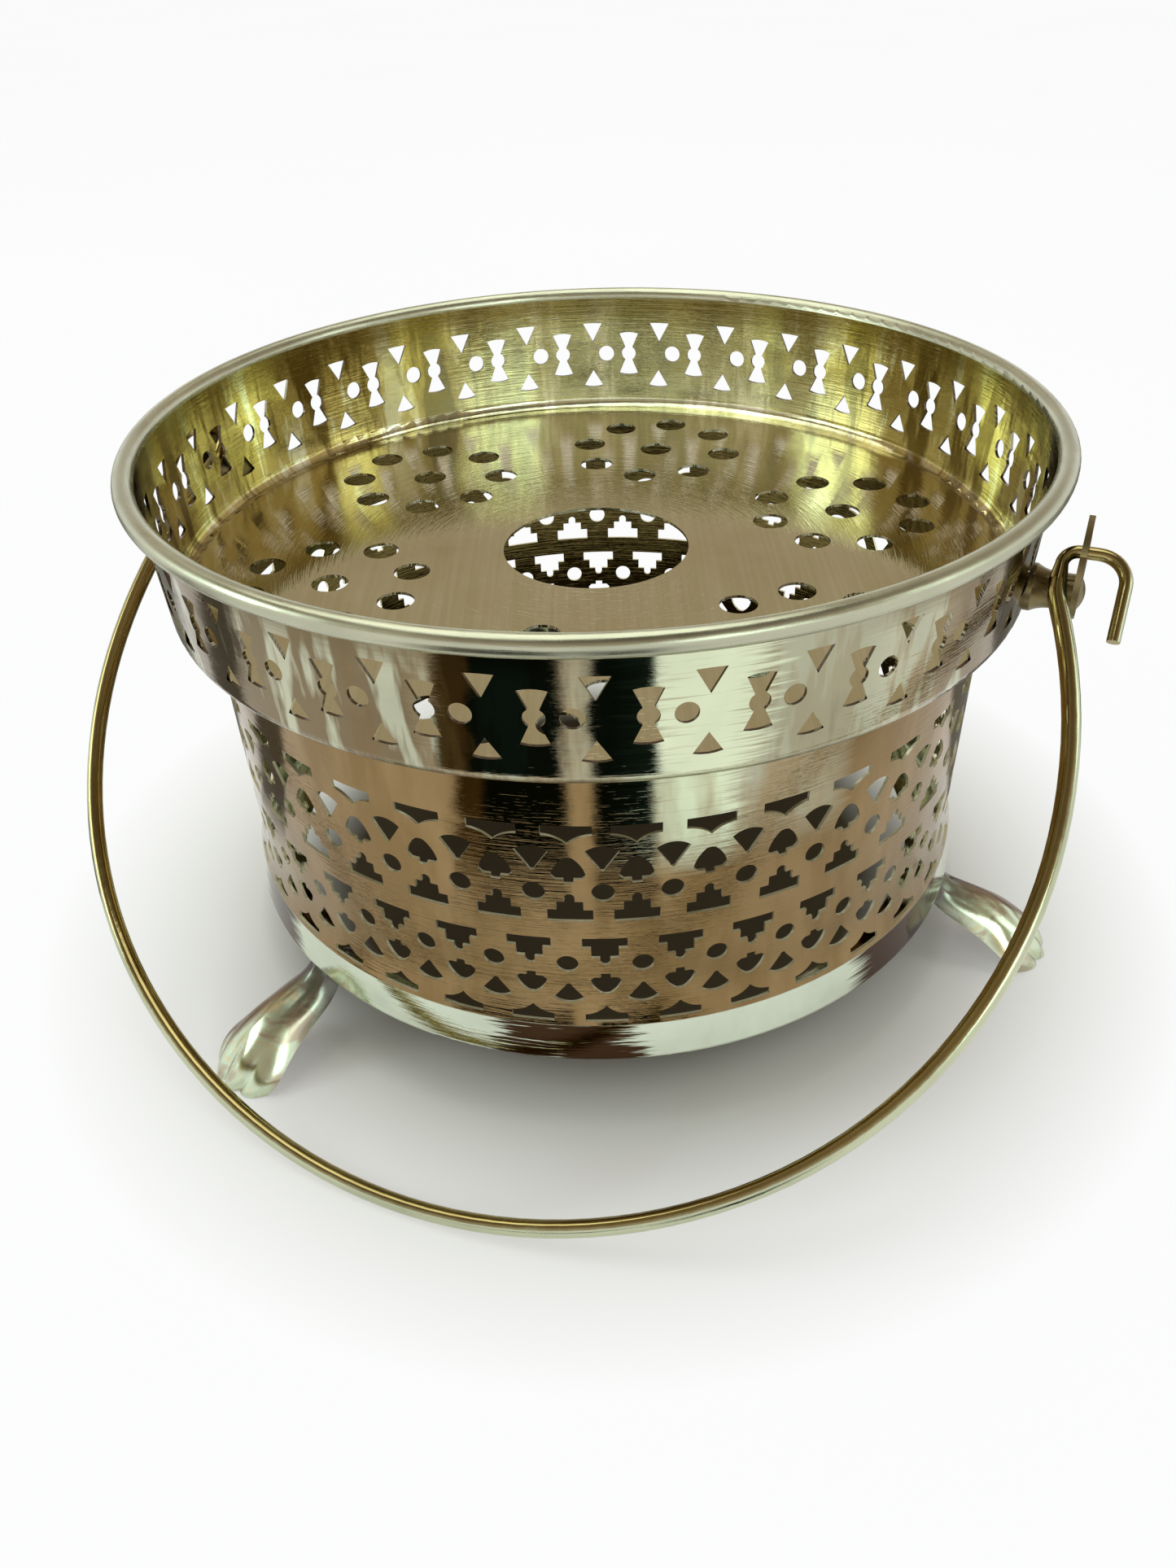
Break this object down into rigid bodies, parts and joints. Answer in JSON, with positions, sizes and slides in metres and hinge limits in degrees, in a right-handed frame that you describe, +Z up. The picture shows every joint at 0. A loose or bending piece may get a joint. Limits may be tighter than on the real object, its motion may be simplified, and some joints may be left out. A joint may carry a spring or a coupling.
{
  "type": "hanging lantern",
  "caption": "Pierced brass lantern bowl: a shallow perforated pan on a perforated drum, on splayed legs, with a swinging wire bail.",
  "frame": {"origin": "on the pot's axis, in the plane that the three toes stand on", "axes": "+Z up along the pot's axis; X along the bail's hinge; the bail rests towards -Y"},
  "size_m": [0.2853, 0.2722, 0.1598],
  "materials": {
    "polished_brass": "mirror polished, fine lathe lines",
    "leg_brass": "polished",
    "ear_brass": "satin, solder-greyed",
    "rivet_brass": "satin",
    "brass_wire": "drawn wire, worn polish"
  },
  "bodies": {
    "pot": {"upper_pan": "polished_brass", "rim_wire": "brass_wire", "drum": "polished_brass", "leg_rivets": "rivet_brass", "leg_front": "leg_brass", "leg_right": "leg_brass", "leg_rear": "leg_brass", "ear_plate_right": "ear_brass", "ear_plate_left": "ear_brass", "ear_post_right": "ear_brass", "ear_post_left": "ear_brass"},
    "bail": {"bail": "brass_wire"}
  },
  "joints": [
    {"name": "bail_hinge", "type": "hinge", "parent": "pot", "child": "bail", "pos_m": [0, 0, 0.1393], "axis": [-1, 0, 0], "range_deg": [0, 266.7]}
  ]
}
